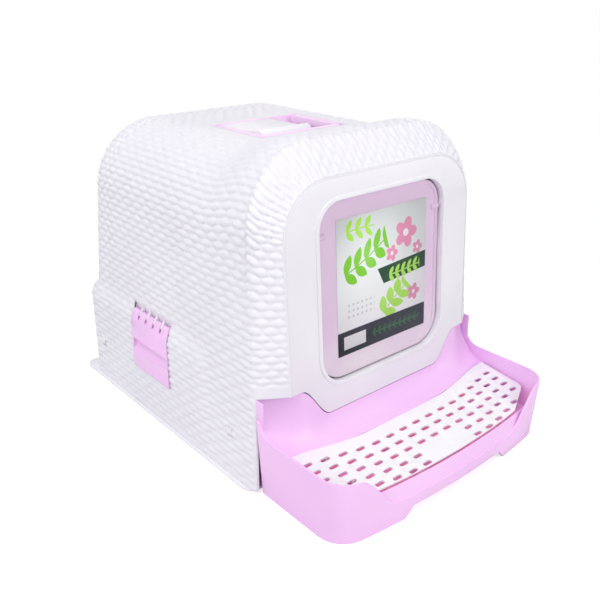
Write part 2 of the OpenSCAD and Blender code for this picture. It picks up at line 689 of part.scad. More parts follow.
rail_half = pan_half_foot - 30;
post_top = finger_z0 - 6;                // top of the posts that the latches close against
low_wall_t = 2.6;
low_wall_h = 16;
module base_tray() {
    color(WHITE) union() {
        linear_extrude(base_t) rounded(-base_w / 2, front_y, base_w / 2, back_y, flange_r, flange_r);
        // low wall that locates the hood, along both sides and the back
        both_sides() translate([foot_half - hood_wall - 4.6, front_y + 12, base_t - eps])
            cube([low_wall_t, base_l - 76, low_wall_h]);
        translate([-foot_half + back_r, foot_back - hood_wall - 3.8, base_t - eps])
            cube([2 * (foot_half - back_r), low_wall_t, low_wall_h]);
        // runners under the litter pan
        for (x = [-rail_half, 0, rail_half])
            translate([x - 2, front_y + 14, base_t - eps]) cube([4, base_l - 60, 1.3 + eps]);
        // tongues behind the snap slots
        both_sides() for (y = snap_y)
            loft([for (z = [base_t - eps, snap_z + 8]) let (x = snap_x(y, z) - hood_wall - 3)
                [[x, y - 12, z], [x + 2.4, y - 12, z], [x + 2.4, y + 12, z], [x, y + 12, z]]]);
        // posts that the latches close against
        both_sides()
            translate([side_x(latch_low) - latch_t - 1.8 - 2.6, latch_y - latch_l / 2 + 2, base_t - eps])
                cube([2.6, latch_l - 4, post_top - base_t]);
    }
}

// ---------- carry handle and filter ----------

well_top = crown_h;
pan_wall = 2.4;
bar_gap = 1;
pivot_r = 3;
handle_pivot_y = well_y + well_l - 12;
handle_pivot_z = well_top - bar_h / 2 - 0.5;
pan_rim = pan_wall + seat;               // from the crown's opening to the pan's inner face
// The children on both sides of the handle's pivot line, at x, pointing outwards.
module at_handle_pivots(x) {
    for (side = [-1, 1])
        translate([side * x, handle_pivot_y, handle_pivot_z]) rotate([0, side * 90, 0]) children();
}
module handle_pan() {
    color(PINK) difference() {
        union() {
            translate([-well_w / 2 + seat, well_y + seat, well_top - well_depth])
                cube([well_w - 2 * seat, well_l - 2 * seat, well_depth - 0.4]);
            // flange under the crown
            translate([-well_w / 2 - 8, well_y - 8, well_top - hood_wall - 2.6])
                cube([well_w + 16, well_l + 16, 2.3]);
        }
        translate([-well_w / 2 + pan_rim, well_y + pan_rim, well_top - well_depth + pan_wall])
            cube([well_w - 2 * pan_rim, well_l - 2 * pan_rim, well_depth]);
        // air slots under the filter
        for (i = [-4:4])
            translate([-lid_w / 2 - 14, well_y + well_l / 2 + i * 9 - 2, well_top - well_depth - 1])
                cube([lid_w - 8, 4, pan_wall + 2]);
        at_handle_pivots(well_w / 2 - 6) cylinder(h = 10, r = pivot_r + pin_clear, $fn = 36);
    }
}
bar_x = well_w / 2 - pan_rim - bar_gap - bar_w / 2;
bar_front_y = well_y + pan_rim + bar_gap + bar_w / 2;
module carry_handle() {
    out_x = bar_x + bar_w / 2;
    in_x = bar_x - bar_w / 2;
    color(PINK) union() {
        translate([0, 0, handle_pivot_z - bar_h / 2]) linear_extrude(bar_h) difference() {
            rounded(-out_x, bar_front_y - bar_w / 2, out_x, handle_pivot_y, 12, 0.5);
            rounded(-in_x, bar_front_y + bar_w / 2, in_x, handle_pivot_y + 1, 3, 0.5);
        }
        at_handle_pivots(in_x) cylinder(h = bar_w, r = bar_h / 2, $fn = 36);
        at_handle_pivots(bar_x) cylinder(h = bar_w / 2 + bar_gap + pan_wall - 0.3, r = pivot_r, $fn = 36);
    }
}
lid_x0 = -bar_x + bar_w / 2 + 1.2;
lid_y0 = bar_front_y + bar_w / 2 + 1.2;
lid_y1 = well_y + well_l - pan_rim - 0.6;
lid_depth = 10;
lid_wall = 2.4;
module filter_lid() {
    color(WHITE) difference() {
        translate([lid_x0, 0, 0]) rotate([90, 0, 90]) linear_extrude(lid_w) polygon(concat(
            [[lid_y1, well_top - 1.5], [lid_y1, well_top - lid_depth], [lid_y0, well_top - lid_depth]],
            arc(lid_y0 + 14, well_top - 9.5, 14, 180, 110, 5), [[lid_y0 + 30, well_top - 0.4]]));
        translate([lid_x0 + lid_wall, lid_y0 + lid_wall, well_top - lid_depth - 2])
            cube([lid_w - 2 * lid_wall, lid_y1 - lid_y0 - 2 * lid_wall, lid_depth - 2]);
    }
}
module carbon_filter() {
    color("dimgray") translate([lid_x0 + 3, lid_y0 + 3, well_top - well_depth + pan_wall])
        cube([lid_w - 6, lid_y1 - lid_y0 - 6, 8]);
}

base_tray();
hood_shell();
front_panel();
drawer();
step_grate();
flap();
flap_card();
latch_left();
latch_right();
latch_pin(-1);  // latch_pin_left
latch_pin(1);  // latch_pin_right
handle_pan();
carry_handle();
filter_lid();
carbon_filter();
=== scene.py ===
"""A hooded litter box in woven-look plastic: hood, door frame and flap, drawer with a landing step,
side latches, carry handle and filter lid. Shapes are worked out in millimetres and become metres when
a mesh is made. Lamps, the camera and the patterns inside materials are in metres."""
import json
import math

import bmesh
import bpy
import numpy as np
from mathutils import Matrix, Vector

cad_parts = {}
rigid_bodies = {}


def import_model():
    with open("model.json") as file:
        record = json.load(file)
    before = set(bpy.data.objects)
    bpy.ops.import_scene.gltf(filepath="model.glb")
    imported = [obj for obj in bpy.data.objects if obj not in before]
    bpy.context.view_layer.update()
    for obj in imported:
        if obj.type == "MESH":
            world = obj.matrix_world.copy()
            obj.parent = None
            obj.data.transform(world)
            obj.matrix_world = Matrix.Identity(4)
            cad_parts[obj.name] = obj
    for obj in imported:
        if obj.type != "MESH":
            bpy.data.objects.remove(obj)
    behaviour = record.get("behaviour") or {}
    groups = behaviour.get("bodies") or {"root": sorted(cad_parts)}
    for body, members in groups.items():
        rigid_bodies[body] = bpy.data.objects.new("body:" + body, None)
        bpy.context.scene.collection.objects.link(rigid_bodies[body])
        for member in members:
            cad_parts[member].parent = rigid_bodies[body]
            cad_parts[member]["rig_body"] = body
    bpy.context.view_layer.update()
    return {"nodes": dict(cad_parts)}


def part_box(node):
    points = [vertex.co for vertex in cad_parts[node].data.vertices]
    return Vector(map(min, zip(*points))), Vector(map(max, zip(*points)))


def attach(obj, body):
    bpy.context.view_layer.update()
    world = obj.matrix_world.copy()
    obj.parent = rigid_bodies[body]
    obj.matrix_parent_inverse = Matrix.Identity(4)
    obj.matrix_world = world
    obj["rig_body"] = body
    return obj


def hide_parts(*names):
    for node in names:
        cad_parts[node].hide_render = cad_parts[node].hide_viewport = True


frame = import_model()
MM = 0.001

# ---------------------------------------------------------------- camera and lamps

scene = bpy.context.scene
scene.view_settings.view_transform = "Standard"

camera_data = bpy.data.cameras.new("camera")
camera_data.lens = 44.7
camera_data.sensor_width = 36
camera = bpy.data.objects.new("camera", camera_data)
camera.location = (-0.608, -0.710, 0.553)
camera.rotation_euler = (math.radians(66.5), 0, math.radians(-40.4))
scene.collection.objects.link(camera)
scene.camera = camera


def soft_lamp(name, place, aim, size, power, tint=(1, 1, 1)):
    """A square soft box at place, facing aim."""
    lamp = bpy.data.lights.new(name, "AREA")
    lamp.shape = "SQUARE"
    lamp.size = size
    lamp.energy = power
    lamp.color = tint
    holder = bpy.data.objects.new(name, lamp)
    holder.location = place
    holder.rotation_euler = (Vector(aim) - Vector(place)).to_track_quat("-Z", "Y").to_euler()
    scene.collection.objects.link(holder)


soft_lamp("lamp_over", (-0.7, -0.3, 2.2), (0, 0, 0.2), 1.0, 16.5)
soft_lamp("lamp_front", (0.3, -2.2, 1.1), (0, -0.1, 0.2), 1.2, 15.5)
soft_lamp("lamp_side", (-2.2, 0.0, 1.2), (0, 0, 0.2), 1.0, 10.5, (0.96, 0.95, 1))

# ---------------------------------------------------------------- shader words


class Val:
    """One socket of a node tree, with arithmetic that adds Math nodes."""

    def __init__(self, tree, socket):
        self.tree = tree
        self.socket = socket

    def math(self, operation, *others):
        return self.tree.node("ShaderNodeMath", {"operation": operation}, [self, *others])

    def __add__(self, other):
        return self.math("ADD", other)

    def __radd__(self, other):
        return self.math("ADD", other)

    def __sub__(self, other):
        return self.math("SUBTRACT", other)

    def __rsub__(self, other):
        return self.tree.number(other).math("SUBTRACT", self)

    def __mul__(self, other):
        return self.math("MULTIPLY", other)

    def __rmul__(self, other):
        return self.math("MULTIPLY", other)

    def __truediv__(self, other):
        return self.math("DIVIDE", other)

    def __rtruediv__(self, other):
        return self.tree.number(other).math("DIVIDE", self)


class Tree:
    """The node tree of a material or of the world."""

    def __init__(self, owner):
        self.nodes = owner.node_tree.nodes
        self.links = owner.node_tree.links

    def feed(self, socket, value):
        """Links a value of the tree to the socket, or sets the socket to a number or a colour."""
        if isinstance(value, Val):
            self.links.new(value.socket, socket)
        elif isinstance(value, tuple):
            socket.default_value = (*value, 1)
        else:
            socket.default_value = value

    def node(self, kind, settings=None, inputs=None, out=0):
        """Adds a node: settings first, then the values or links of its sockets."""
        made = self.nodes.new(kind)
        for key, value in (settings or {}).items():
            setattr(made, key, value)
        pairs = inputs.items() if isinstance(inputs, dict) else enumerate(inputs or [])
        for key, value in pairs:
            self.feed(made.inputs[key], value)
        return Val(self, made.outputs[out])

    def number(self, value):
        return self.node("ShaderNodeMath", {"operation": "ADD"}, [value, 0.0])

    def place(self):
        """The point of the piece, in metres, from the object's own coordinates."""
        return self.node("ShaderNodeTexCoord", out="Object")

    def parts(self, vector):
        """The x, y and z of a vector."""
        split = self.node("ShaderNodeSeparateXYZ", None, [vector]).socket.node
        return [Val(self, socket) for socket in split.outputs]

    def noise(self, scale, detail, rough=0.5):
        return self.node("ShaderNodeTexNoise", None,
                         {"Vector": self.place(), "Scale": scale, "Detail": detail, "Roughness": rough})

    def mix(self, factor, a, b):
        """Colour a where factor is 0 and colour b where it is 1."""
        return self.node("ShaderNodeMix", {"data_type": "RGBA"}, {0: factor, 6: a, 7: b}, out=2)

    def ramp(self, value, low, high, a=0.0, b=1.0):
        """value from low..high to a..b, clamped and eased."""
        return self.node("ShaderNodeMapRange", {"interpolation_type": "SMOOTHSTEP"}, [value, low, high, a, b])

    def bump(self, height, distance, strength):
        return self.node("ShaderNodeBump", None,
                         {"Strength": strength, "Distance": distance, "Height": height})


def new_material(name, constants, make=None):
    """A principled material. constants go on the shader's own sockets; make links what varies."""
    material = bpy.data.materials.new(name)
    material.use_nodes = True
    tree = Tree(material)
    shader = tree.nodes["Principled BSDF"]
    for key, value in {**constants, **(make(tree) if make else {})}.items():
        tree.feed(shader.inputs[key], value)
    return material


# ---------------------------------------------------------------- plastics

PLASTIC_IOR = 1.47
PINK_TONE, PINK_SHADE = (0.93, 0.60, 0.94), (0.91, 0.575, 0.93)


def drift(t, tone, shade):
    """The faint drift of a moulding between two tones of its colour."""
    return t.mix(t.ramp(t.noise(7, 2), 0.35, 0.65), tone, shade)


def sheen(t, low, high, scale=14, detail=1):
    """Uneven gloss, with a roughness from low to high."""
    return t.ramp(t.noise(scale, detail), 0.3, 0.7, low, high)


def moulded(name, tone, shade, roughness, grain=0.00002):
    """Moulded plastic: a faint drift of colour, uneven gloss and the fine grain of the mould."""
    def make(t):
        return {
            "Base Color": drift(t, tone, shade),
            "Roughness": sheen(t, roughness - 0.02, roughness + 0.03),
            "Normal": t.bump(t.noise(900, 2, 0.6), grain, 0.4),
        }
    return new_material(name, {"IOR": PLASTIC_IOR}, make)


WHITE = moulded("white_plastic", (0.88, 0.865, 0.91), (0.85, 0.835, 0.89), 0.34)
WOVEN = moulded("white_woven_plastic", (0.85, 0.835, 0.89), (0.82, 0.805, 0.87), 0.46)
GRATE_WHITE = moulded("grate_white_plastic", (0.93, 0.915, 0.95), (0.91, 0.895, 0.93), 0.38)
PINK = moulded("pink_plastic", PINK_TONE, PINK_SHADE, 0.3, 0.0)
# a lighter copy of the pink for the handle and its well: painted light against the shade that lies in the
# well
WELL_PINK_PAINTED_LIGHT = moulded("pink_plastic_painted_light", (0.97, 0.74, 0.97), (0.96, 0.72, 0.96), 0.32, 0.0)
CARBON = moulded("carbon_felt", (0.03, 0.03, 0.032), (0.05, 0.05, 0.052), 0.9, 0.0006)

# The floor under the grate, in metres, where shade and a glow are painted on the drawer: it starts behind the
# ridge, which bows with the step.
RIDGE_Y, RIDGE_BOW = -0.270, 0.45
CATCH_HALF, CATCH_TOP = 0.160, 0.047
CATCH_BLEND = 0.006                    # the painted shade and glow fade out over this length


def catch_floor_with_painted_shade(t):
    """The drawer's pink with painted shade under the grate, a deeper pink, and a painted glow there that
    stands for light coming through the plastic.
    """
    x, y, z = t.parts(t.place())
    behind_ridge = t.ramp(y - x * x * RIDGE_BOW, RIDGE_Y, RIDGE_Y + CATCH_BLEND)
    off_side = t.ramp(x.math("ABSOLUTE"), CATCH_HALF, CATCH_HALF + CATCH_BLEND, 1, 0)
    # where the painted shade and the painted glow go: the floor under the grate
    shade_and_glow_mask = behind_ridge * off_side * t.ramp(z, CATCH_TOP, CATCH_TOP + CATCH_BLEND, 1, 0)
    # painted shade in the base colour, a painted glow in the emission
    return {
        "Base Color": t.mix(shade_and_glow_mask, drift(t, PINK_TONE, PINK_SHADE), (0.92, 0.42, 0.66)),
        "Emission Color": t.mix(shade_and_glow_mask, (0, 0, 0), (0.62, 0.17, 0.34)),
        "Roughness": sheen(t, 0.28, 0.33),
    }


# the strength of the glow painted under the grate
PAINTED_GLOW_CONSTANTS = {"IOR": PLASTIC_IOR, "Emission Strength": 0.3}
UNDER_GRATE_PAINTED_SHADE = new_material("pink_with_painted_shade_and_glow", PAINTED_GLOW_CONSTANTS, catch_floor_with_painted_shade)

# ---------------------------------------------------------------- mesh helpers

SOFT_ANGLE = math.radians(32)          # edges that turn more than this are softened
FLAT_ANGLE = math.radians(0.6)         # faces that turn less than this become one
SAME_PLACE = 0.000002                  # metres within which corners are merged


def mesh_object(bm, name, material):
    """An object in the scene from a bmesh, which is used up."""
    mesh = bpy.data.meshes.new(name)
    bm.to_mesh(mesh)
    bm.free()
    mesh.materials.append(material)
    made = bpy.data.objects.new(name, mesh)
    scene.collection.objects.link(made)
    return made


def to_piece(bm, name, material, body, replaces=()):
    """A smooth piece of the product, riding on a body and standing in for the CAD nodes in replaces."""
    piece = mesh_object(bm, name, material)
    for face in piece.data.polygons:
        face.use_smooth = True
    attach(piece, body)
    if replaces:
        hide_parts(*replaces)
    return piece


def soften(piece, width, segments=2):
    """Rounds the piece's sharp edges. width is in metres."""
    soft = piece.modifiers.new("soft_edges", "BEVEL")
    soft.width = width
    soft.segments = segments
    soft.limit_method = "ANGLE"
    soft.angle_limit = SOFT_ANGLE
    soft.harden_normals = True


def refined(node, material, bevel=0.0006, segments=2):
    """A merged copy of a CAD node with softened edges."""
    source = frame["nodes"][node]
    bm = bmesh.new()
    bm.from_mesh(source.data)
    bmesh.ops.remove_doubles(bm, verts=bm.verts, dist=SAME_PLACE)
    bmesh.ops.dissolve_limit(bm, angle_limit=FLAT_ANGLE, verts=bm.verts, edges=bm.edges)
    piece = to_piece(bm, node + "_soft", material, source["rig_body"], (node,))
    if bevel:
        soften(piece, bevel, segments)
    return piece


def grid_of(points):
    """A sheet of faces through a table of points, rows by columns, given in millimetres."""
    rows, cols = points.shape[:2]
    bm = bmesh.new()
    bmesh.ops.create_grid(bm, x_segments=cols - 1, y_segments=rows - 1, size=1)
    flat = np.array([v.co[:] for v in bm.verts])
    col = np.rint((flat[:, 0] + 1) / 2 * (cols - 1)).astype(int)
    row = np.rint((flat[:, 1] + 1) / 2 * (rows - 1)).astype(int)
    for vert, point in zip(bm.verts, points[row, col] * MM):
        vert.co = point
    return bm


def drop_faces(bm, inside):
    """Deletes the faces whose middle, in millimetres, is inside."""
    gone = [f for f in bm.faces if inside(*(f.calc_center_median() / MM))]
    bmesh.ops.delete(bm, geom=gone, context="FACES")


def add_block(bm, size, middle):
    """Adds a block. size and middle are in millimetres."""
    made = bmesh.ops.create_cube(bm, size=1)["verts"]
    bmesh.ops.scale(bm, verts=made, vec=Vector(size) * MM)
    bmesh.ops.translate(bm, verts=made, vec=Vector(middle) * MM)


def steps(marks, pitch):
    """Places from the first mark to the last, through every mark, no further apart than pitch."""
    out = [marks[0]]
    for a, b in zip(marks, marks[1:]):
        n = max(1, math.ceil(abs(b - a) / pitch - 1e-6))
        out += [a + (b - a) * k / n for k in range(1, n + 1)]
    return np.array(out)


def lerp(a, b, t):
    return a + (b - a) * t


def ease(t):
    """0 below 0, 1 above 1 and an even S between."""
    c = np.clip(t, 0, 1)
    return c * c * (3 - 2 * c)


def grow(value, start, length):
    """0 up to start, 1 from start + length on, and an even S between."""
    return ease((value - start) / length)


def slope(degrees):
    return math.tan(math.radians(degrees))


# ---------------------------------------------------------------- the hood's form

# Heights are over the floor, half widths from the middle line, and y runs from the front to the back.
FOOT_HALF, FOOT_Z = 193.5, 3.6
FOOT_FRONT, FOOT_BACK = -140.5, 283.5
FRAME_Y, FRAME_HALF, FRAME_TOP, FRAME_R = -164.5, 149.0, 357.0, 62.0
CROWN, ARCH_TOP, SHOULDER_R, BACK_R = 378.0, 394.0, 90.0, 46.0
ARCH_KEEP, ARCH_FALL = 26.0, 74.0      # behind the corner the arch keeps its height, then falls to the crown
LEDGE_LOW, LEDGE_TOP = 128.0, 155.0
LEDGE_START, LEDGE_GROW = 84.0, 22.0   # how far behind the corner the side swells out, and over what length
SIDE_LEAN, BACK_LEAN, FRONT_LEAN, FOOT_LEAN = slope(3.4), slope(5), slope(3.5), slope(0.5)
RIM_W = 2.2                            # the band starts this far outside the door frame's outline
HOOD_WALL = 3.0
APRON_HIGH = 122.0                     # the front is open below this height, for the drawer
FIXED_TOP = 200.0                      # below this height a row of corners keeps one height
ROOF_LOW = CROWN - 14                  # near the handle well, whatever lies higher is the roof
SIDE_X = 120.0                         # further out than this is the side wall
ROOF_HALF = 90.0                       # further out than this the arch comes down to the side
LATCH_Y, LATCH_GAP_HALF = 84.5, 46.2
WINDOW_LOW, WINDOW_TOP = 60.8, 156.6
WELL_HALF, WELL_FRONT, WELL_BACK = 70.0, -8.5, 99.5
WELL_EDGE = 2.0                        # a corner this near the well's outline belongs to its edge
BACK_FOOT_Y = FOOT_BACK - BACK_R - 30  # further back than this the foot turns in towards the middle
SNAP_Y, SNAP_HALF, SNAP_LOW, SNAP_HIGH = (-90.5, 221.5), 5.0, 54.0, 58.0
HOOD_MIDDLE = np.array([0.0, 60.0, 150.0])      # a point inside, which tells outwards from inwards
ROW_MARKS = [FOOT_Z, SNAP_LOW, SNAP_HIGH, WINDOW_LOW, APRON_HIGH, WINDOW_TOP, FIXED_TOP]

# Lengths along a strand, from the door frame's edge to the middle of the back, as the weave counts them.
BAND_L, TURN_L, FRONT_L, MIDDLE_L, REAR_L, CORNER_L, BACK_L = 48.0, 6.0, 66.0, 240.0, 36.0, 72.0, 144.0
ENDS = np.cumsum([0, BAND_L, TURN_L, FRONT_L, MIDDLE_L, REAR_L, CORNER_L, BACK_L])
BAND_END, TURN_END, FRONT_END, MIDDLE_END, REAR_END, CORNER_END = ENDS[1:7]
MID_FRONT, MID_BACK = -50.0, 190.0     # between these the columns stand square

LIP_L, LIP_ROUND, LIP_DEPTH = 4.0, 0.6, 2.6     # the band's lip, which turns in behind the frame's edge
WALL_START = 8.0                       # how far behind the front corner the side wall's own columns start
FRONT_ROUND = 9.0                      # the strand length ahead of the front corner that is rounded
CORNER_AHEAD, CORNER_DROP = 2.0, 9.0   # the corner's rows lie ahead of the wall's line, and lower at the top
FRONT_COLUMNS = 70.0                   # how far the front columns reach over the crown
FRONT_REACH = 130.0                    # past this the arch has fallen and the side has swelled out
BACK_TIGHTEN = 0.8                     # the share of the back's rounding by which the shoulder gets tighter


def wall_half(z):
    return FOOT_HALF - z * SIDE_LEAN


def bulge(z, lean):
    """How much further out than its lean the wall stands: up to the ledge it is nearly upright."""
    full = lean - FOOT_LEAN
    upper = LEDGE_LOW * full * ease((LEDGE_TOP - z) / (LEDGE_TOP - LEDGE_LOW))
    return np.where(z < LEDGE_LOW, z * full, upper)


def side_x(z):
    return wall_half(z) + bulge(z, SIDE_LEAN)


def corner_y(z):
    return FOOT_FRONT + z * FRONT_LEAN


def frame_plane_y(z):
    return FRAME_Y + z * FRONT_LEAN


def wall_back_y(z):
    return FOOT_BACK - z * BACK_LEAN + bulge(z, BACK_LEAN)


def crown_at(d):
    """The height of the roof at the distance d behind the front corner."""
    return CROWN + (ARCH_TOP - CROWN) * (1 - grow(d, ARCH_KEEP, ARCH_FALL))


class Girth:
    """The rows of corners round one half of the hood, from the foot to the middle of the crown."""

    UPPER_WALL_L, ROOF_EDGE_L = 100.0, 18.0     # rough lengths, for the pitch of the rows alone

    def __init__(self, pitch, crown_pitch):
        self.low = steps(ROW_MARKS, pitch)
        self.wall = steps([0, 1], pitch / self.UPPER_WALL_L)[1:]
        self.arc = steps([0, 90], math.degrees(pitch / SHOULDER_R))[1:]
        self.outer = steps([0, 1], crown_pitch / self.ROOF_EDGE_L)[1:]
        self.inner = steps([0, 1], crown_pitch / WELL_HALF)[1:]

    def trace(self, half, base_x, zs, r, top):
        """x and z of every row. half(z) is the wall's x; base_x the arc's outer x, zs its lower end."""
        low_z = np.minimum(self.low, zs - 1)
        wall_z = lerp(min(FIXED_TOP, zs - 1), zs, self.wall)
        a = np.radians(self.arc)
        edge = base_x - r
        x = np.concatenate([half(low_z), half(wall_z), edge + r * np.cos(a),
                            lerp(edge, WELL_HALF, self.outer), lerp(WELL_HALF, 0, self.inner)])
        roof_z = np.full(len(self.outer) + len(self.inner), top)
        z = np.concatenate([low_z, wall_z, zs + r * np.sin(a), roof_z])
        return x, z

    def arch(self, inset, top, r, swell):
        """The hood's section. swell is 1 where the side has its ledge and 0 where it is straight."""
        zs = top - r
        return self.trace(lambda z: wall_half(z) + swell * bulge(z, SIDE_LEAN) - inset,
                          wall_half(zs) - inset, zs, r, top)

    def frame_ring(self, margin):
        """The door frame's outline, made larger by margin."""
        h, r = FRAME_HALF + margin, FRAME_R + margin
        zs = FRAME_TOP + margin - r
        return self.trace(lambda z: np.full_like(z, h), h, zs, r, FRAME_TOP + margin)


def point_rows(x, y, z):
    return np.stack([x, y + 0 * x, z], axis=-1)


def lip_points(girth, c):
    """The smooth lip, where c is below 0: round the frame's edge, then straight back behind it."""
    way = -c / LIP_L * 2
    turned = min(1, way) * math.pi / 2
    ring_x, ring_z = girth.frame_ring(RIM_W * (1 - math.sin(turned)))
    back = LIP_ROUND * (1 - math.cos(turned)) + LIP_DEPTH * max(0, way - 1)
    return point_rows(ring_x, frame_plane_y(ring_z) + back, ring_z)


def band_points(girth, c, t):
    """The band round the door frame, and its turn over the front corner."""
    ring_x, ring_z = girth.frame_ring(0 if t else RIM_W)
    ring = point_rows(ring_x, frame_plane_y(ring_z), ring_z)
    x, z = girth.arch(t, crown_at(WALL_START) - t, SHOULDER_R - t, 0)
    behind = point_rows(x, corner_y(z) + WALL_START, z)
    # the corner's rows lie a little inside the rows behind, more so over the top
    z = z - CORNER_DROP * ease((z - FIXED_TOP) / (ARCH_TOP - FIXED_TOP))
    corner = point_rows(x - np.sign(x), corner_y(z) - CORNER_AHEAD + t, z)
    if c <= BAND_END - FRONT_ROUND:
        return lerp(ring, corner, c / BAND_L)
    # the turn is a curve that the corner pulls towards itself
    k = (c - BAND_END + FRONT_ROUND) / (TURN_L + FRONT_ROUND)
    start = lerp(ring, corner, 1 - FRONT_ROUND / BAND_L)
    return (1 - k) ** 2 * start + 2 * k * (1 - k) * corner + k * k * behind


def side_points(girth, c, t):
    """The side wall and the roof, from behind the front corner to the back's rounded corner."""
    ahead = c <= FRONT_END
    top = crown_at(WALL_START + (c - TURN_END) / FRONT_L * FRONT_COLUMNS) if ahead else CROWN
    x, z = girth.arch(t, top - t, SHOULDER_R - t, 0 if ahead else 1)
    if ahead:
        y = lerp(corner_y(z) + WALL_START, MID_FRONT, (c - TURN_END) / FRONT_L)
    elif c <= MIDDLE_END:
        y = lerp(MID_FRONT, MID_BACK, (c - FRONT_END) / MIDDLE_L)
    else:
        y = lerp(MID_BACK, wall_back_y(z) - t - BACK_R, (c - MIDDLE_END) / REAR_L)
    d = y - corner_y(z)
    if np.min(d) < FRONT_REACH:
        # the roof falls and the side swells out with the distance behind the front
        flat_x, flat_z = girth.arch(t, CROWN - t, SHOULDER_R - t, 0)
        rise = (crown_at(d) - CROWN) * np.clip((z - FIXED_TOP) / (CROWN - FIXED_TOP), 0, 1)
        x = flat_x + grow(d, LEDGE_START, LEDGE_GROW) * bulge(flat_z, SIDE_LEAN)
        x = np.where(flat_z > LEDGE_TOP, x - rise * SIDE_LEAN * (flat_x > ROOF_HALF), x)
        z = flat_z + rise
    return point_rows(x, y, z)


def back_points(girth, c, t):
    """The back's rounded corner and the back, up to its middle line."""
    a = min(1, (c - REAR_END) / CORNER_L) * math.pi / 2
    inset, forward = BACK_R * (1 - math.cos(a)), BACK_R * (1 - math.sin(a))
    x, z = girth.arch(t + inset, CROWN - t - inset, SHOULDER_R - t - inset * BACK_TIGHTEN, 1)
    edge = point_rows(x, wall_back_y(z) - t - forward, z)
    if c <= CORNER_END:
        return edge
    # the back runs from its rounded outline to the middle line
    low = edge[:, 2] < FIXED_TOP
    reach = np.cumsum(np.r_[0, np.hypot(*np.diff(edge[:, ::2], axis=0).T)])
    first = np.argmax(~low)
    up = (reach - reach[first]) / (reach[-1] - reach[first])
    mid_z = np.where(low, edge[:, 2], lerp(edge[first, 2], edge[-1, 2], up))
    middle = point_rows(0 * mid_z, wall_back_y(mid_z) - t, mid_z)
    out = lerp(edge, middle, (c - CORNER_END) / BACK_L)
    out[:, 1] = wall_back_y(out[:, 2]) - t
    return out


def hood_points(pitch, crown_pitch, columns, t):
    """Girth rows by columns of points, t inside the hood's outer face."""
    girth = Girth(pitch, crown_pitch)

    def column(c):
        if c < 0:
            return lip_points(girth, c)
        if c <= TURN_END:
            return band_points(girth, c, t)
        if c <= REAR_END:
            return side_points(girth, c, t)
        return back_points(girth, c, t)

    return np.stack([column(c) for c in columns], axis=1)


# ---------------------------------------------------------------- the weave

STRAND_W, STRAND_L = 8.5, 24.0         # a woven row's height, and one over-and-under along it
PILLOW_L, PILLOW_W = 10.6, 4.4         # half sizes of the visible pillow of a strand
TAPER, END_FALL, EDGE_FALL = 0.5, 0.55, 0.6     # exponents: the lower, the fuller and steeper the pillow
STAKE_HALF, STAKE_HIGH = 2.4, 0.5      # the stakes between the pillows, and their share of the relief
RELIEF = 2.2
SMOOTH_DEPTH = 0.25                    # how deep a smooth margin lies, as a share of the relief

# Where the weave starts beyond each smooth margin, and over what length it grows.
FRAME_MARGIN, APRON_MARGIN, FOOT_MARGIN, WELL_MARGIN = (1.0, 3), (132, 8), (6, 5), (0, 12)
WELL_SMOOTH_X, WELL_SMOOTH_Y, WELL_SMOOTH_SHIFT = 84, 72, 6     # the smooth field's half sizes and shift

# The strands stand out a little more over the shoulders.
SHOULDER_GAIN, SHOULDER_FROM, SHOULDER_TO = 1.3, (240, 60), (345, 30)


def weave(c, s):
    """Height of the woven face, 0 to 1, at length c along a strand and s up the rows."""
    best = np.zeros_like(c)
    for shift in (-1, 0, 1):
        row = np.floor(s / STRAND_W) + shift
        v = s - (row + 0.5) * STRAND_W
        u = (c + STRAND_L / 2 * (row % 2)) % STRAND_L - STRAND_L / 2
        along = np.clip(1 - (u / PILLOW_L) ** 2, 0, None)
        across = np.clip(1 - (v / (PILLOW_W * along ** TAPER + 1e-6)) ** 2, 0, None)
        pillow = along ** END_FALL * across ** EDGE_FALL
        stake = STAKE_HIGH * np.sqrt(np.clip(1 - ((STRAND_L / 2 - abs(u)) / STAKE_HALF) ** 2, 0, None))
        best = np.maximum(best, np.maximum(pillow, stake * (abs(v) < STRAND_W / 2)))
    return best


def press_weave(p, columns):
    """Sinks the points of the outer face wherever no strand stands out."""
    mid = p[:, np.argmin(abs(columns - FRONT_END - MIDDLE_L / 2))]
    s = np.r_[0, np.cumsum(np.linalg.norm(np.diff(mid, axis=0), axis=1))]
    # the middle line halves the last row, so that the two halves of the hood share it
    count = round(s[-1] / STRAND_W - 0.5) + 0.5
    s = s * count * STRAND_W / s[-1]
    c, s = np.meshgrid(columns, s)
    h = weave(c, s)

    x, y, z = p[..., 0], p[..., 1], p[..., 2]
    off_well = np.maximum(abs(x) - WELL_SMOOTH_X,
                          abs(y - (WELL_FRONT + WELL_BACK) / 2 + WELL_SMOOTH_SHIFT) - WELL_SMOOTH_Y)
    smooth = np.maximum.reduce([
        1 - grow(c, *FRAME_MARGIN),
        (c < BAND_END - 1) * (1 - grow(z, *APRON_MARGIN)),
        1 - grow(z, *FOOT_MARGIN),
        (z > ROOF_LOW) * (1 - grow(off_well, *WELL_MARGIN)),
    ])
    shoulder = grow(z, *SHOULDER_FROM) * (1 - grow(z, *SHOULDER_TO))
    depth = RELIEF * lerp(1, SHOULDER_GAIN, shoulder) * lerp(1 - h, SMOOTH_DEPTH, smooth)

    normal = np.cross(np.gradient(p, axis=0), np.gradient(p, axis=1))
    normal /= np.linalg.norm(normal, axis=2, keepdims=True) + 1e-9
    outward = np.sign(np.sum(normal * (p - HOOD_MIDDLE), axis=2, keepdims=True))
    return p - normal * outward * depth[..., None]


# ---------------------------------------------------------------- the hood's skins

FINE_COLUMN, FINE_ROW, FINE_CROWN = 2.9, 1.22, 2.6
COARSE_COLUMN, COARSE_ROW, COARSE_CROWN = 14, 16, 20
LIP_COLUMNS = -LIP_L * np.array([1, 0.5, 0.36, 0.22, 0.1])


